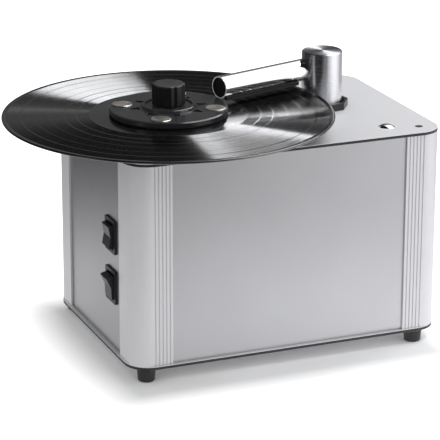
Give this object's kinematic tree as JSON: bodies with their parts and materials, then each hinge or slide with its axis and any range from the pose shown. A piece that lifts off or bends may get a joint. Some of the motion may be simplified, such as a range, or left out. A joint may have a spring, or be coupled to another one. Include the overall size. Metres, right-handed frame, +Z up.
{
  "type": "record cleaning machine",
  "caption": "Vacuum record cleaning machine: metal case on rubber feet, motor-driven platter with a magnetic record clamp, and a swinging suction arm over the record.",
  "frame": {"origin": "middle of the overall footprint, record included, on the floor plane under the feet", "axes": "+X to the right along the long front of the case, +Y to the back, +Z up"},
  "size_m": [0.393, 0.301, 0.2598],
  "materials": {
    "plate": "satin aluminium skins on a black core",
    "profile": "anodised extrusion",
    "panel": "brushed anodised sheet",
    "rubber": "matt",
    "screw": "bright zinc",
    "collar": "satin",
    "polished": "mirror polished",
    "post": "turned and brushed",
    "steel": "ground",
    "bush": "natural bearing plastic",
    "felt": "short pile",
    "platter": "satin",
    "mat": "matt",
    "vinyl": "pressed, with fine grooves",
    "clamp": "satin",
    "magnet": "nickel plated",
    "knob": "satin",
    "brass": "machined",
    "casting": "as cast",
    "motor": "baked enamel",
    "housing": "moulded",
    "tank": "translucent moulding",
    "switch": "fine texture"
  },
  "bodies": {
    "case": {"base_plate": "plate", "top_plate": "plate", "profile_front_left": "profile", "profile_front_right": "profile", "profile_rear_left": "profile", "profile_rear_right": "profile", "front_panel": "panel", "back_panel": "panel", "left_panel": "panel", "right_panel": "panel", "feet": "rubber", "foot_screws": "screw", "top_screws": "screw", "base_screws": "screw", "hole_plug": "polished", "post_collar": "collar", "suction_pipe": "steel", "pipe_seal": "rubber", "spindle_bearing": "brass", "gear_case": "casting", "gear_case_lid": "casting", "platter_motor": "motor", "fan_housing": "housing", "vacuum_motor": "motor", "motor_cradle": "rubber", "inlet_duct": "rubber", "waste_tank": "tank", "tank_gasket": "rubber", "tank_lid": "tank", "pipe_grommet": "rubber", "drain_outlet": "switch", "mains_inlet": "switch", "inlet_blades": "screw", "motor_switch": "switch", "vacuum_switch": "switch", "motor_capacitor": "steel", "capacitor_clip": "screw"},
    "turntable": {"spindle": "steel", "platter": "platter", "platter_mat": "mat", "record": "vinyl", "drive_gear": "brass"},
    "clamp": {"clamp_seal": "rubber", "clamp_disc": "clamp", "clamp_magnets": "magnet", "clamp_knob": "knob"},
    "pinion": {"motor_pinion": "steel"},
    "sleeve": {"arm_sleeve": "bush", "arm_spring": "steel"},
    "arm": {"arm_post": "post", "arm_tube": "polished", "tube_plug": "rubber", "suction_pads": "felt"},
    "fan": {"fan_wheel": "casting"},
    "upper_rocker": {"motor_rocker": "switch"},
    "lower_rocker": {"vacuum_rocker": "switch"},
    "drawer": {"fuse_drawer": "switch", "fuse": "screw"},
    "cap": {"drain_cap": "rubber"}
  },
  "joints": [
    {"name": "platter_spin", "type": "hinge", "parent": "case", "child": "turntable", "pos_m": [-0.046, 0, 0.2265], "axis": [0, 0, 1], "continuous": true},
    {"name": "pinion_spin", "type": "hinge", "parent": "case", "child": "pinion", "pos_m": [-0.046, -0.045, 0.173], "axis": [0, 0, 1], "continuous": true},
    {"name": "clamp_lift", "type": "slide", "parent": "turntable", "child": "clamp", "axis": [0, 0, 1], "range_m": [0, 0.03]},
    {"name": "arm_swivel", "type": "hinge", "parent": "case", "child": "sleeve", "pos_m": [0.12296, 0.03808, 0.2055], "axis": [0, 0, 1], "range_deg": [-110, 0]},
    {"name": "arm_lower", "type": "slide", "parent": "sleeve", "child": "arm", "axis": [0, 0, -1], "range_m": [0, 0.0028], "stiffness_N_per_m": 900, "springref_m": -0.006, "deforming": ["arm_spring"]},
    {"name": "fan_spin", "type": "hinge", "parent": "case", "child": "fan", "pos_m": [0.02496, 0.07, 0.075], "axis": [1, 0, 0], "continuous": true},
    {"name": "motor_rocker_tilt", "type": "hinge", "parent": "case", "child": "upper_rocker", "pos_m": [-0.1069, -0.014, 0.1228], "axis": [0, 1, 0], "range_deg": [-13, 13]},
    {"name": "vacuum_rocker_tilt", "type": "hinge", "parent": "case", "child": "lower_rocker", "pos_m": [-0.1069, -0.014, 0.075], "axis": [0, 1, 0], "range_deg": [0, 26]},
    {"name": "fuse_drawer_slide", "type": "slide", "parent": "case", "child": "drawer", "axis": [0, 1, 0], "range_m": [0, 0.014]},
    {"name": "drain_cap_pull", "type": "slide", "parent": "case", "child": "cap", "axis": [0, 1, 0], "range_m": [0, 0.02]}
  ],
  "couplings": [
    {"joint": "pinion_spin", "follows": "platter_spin", "ratio": -4}
  ]
}
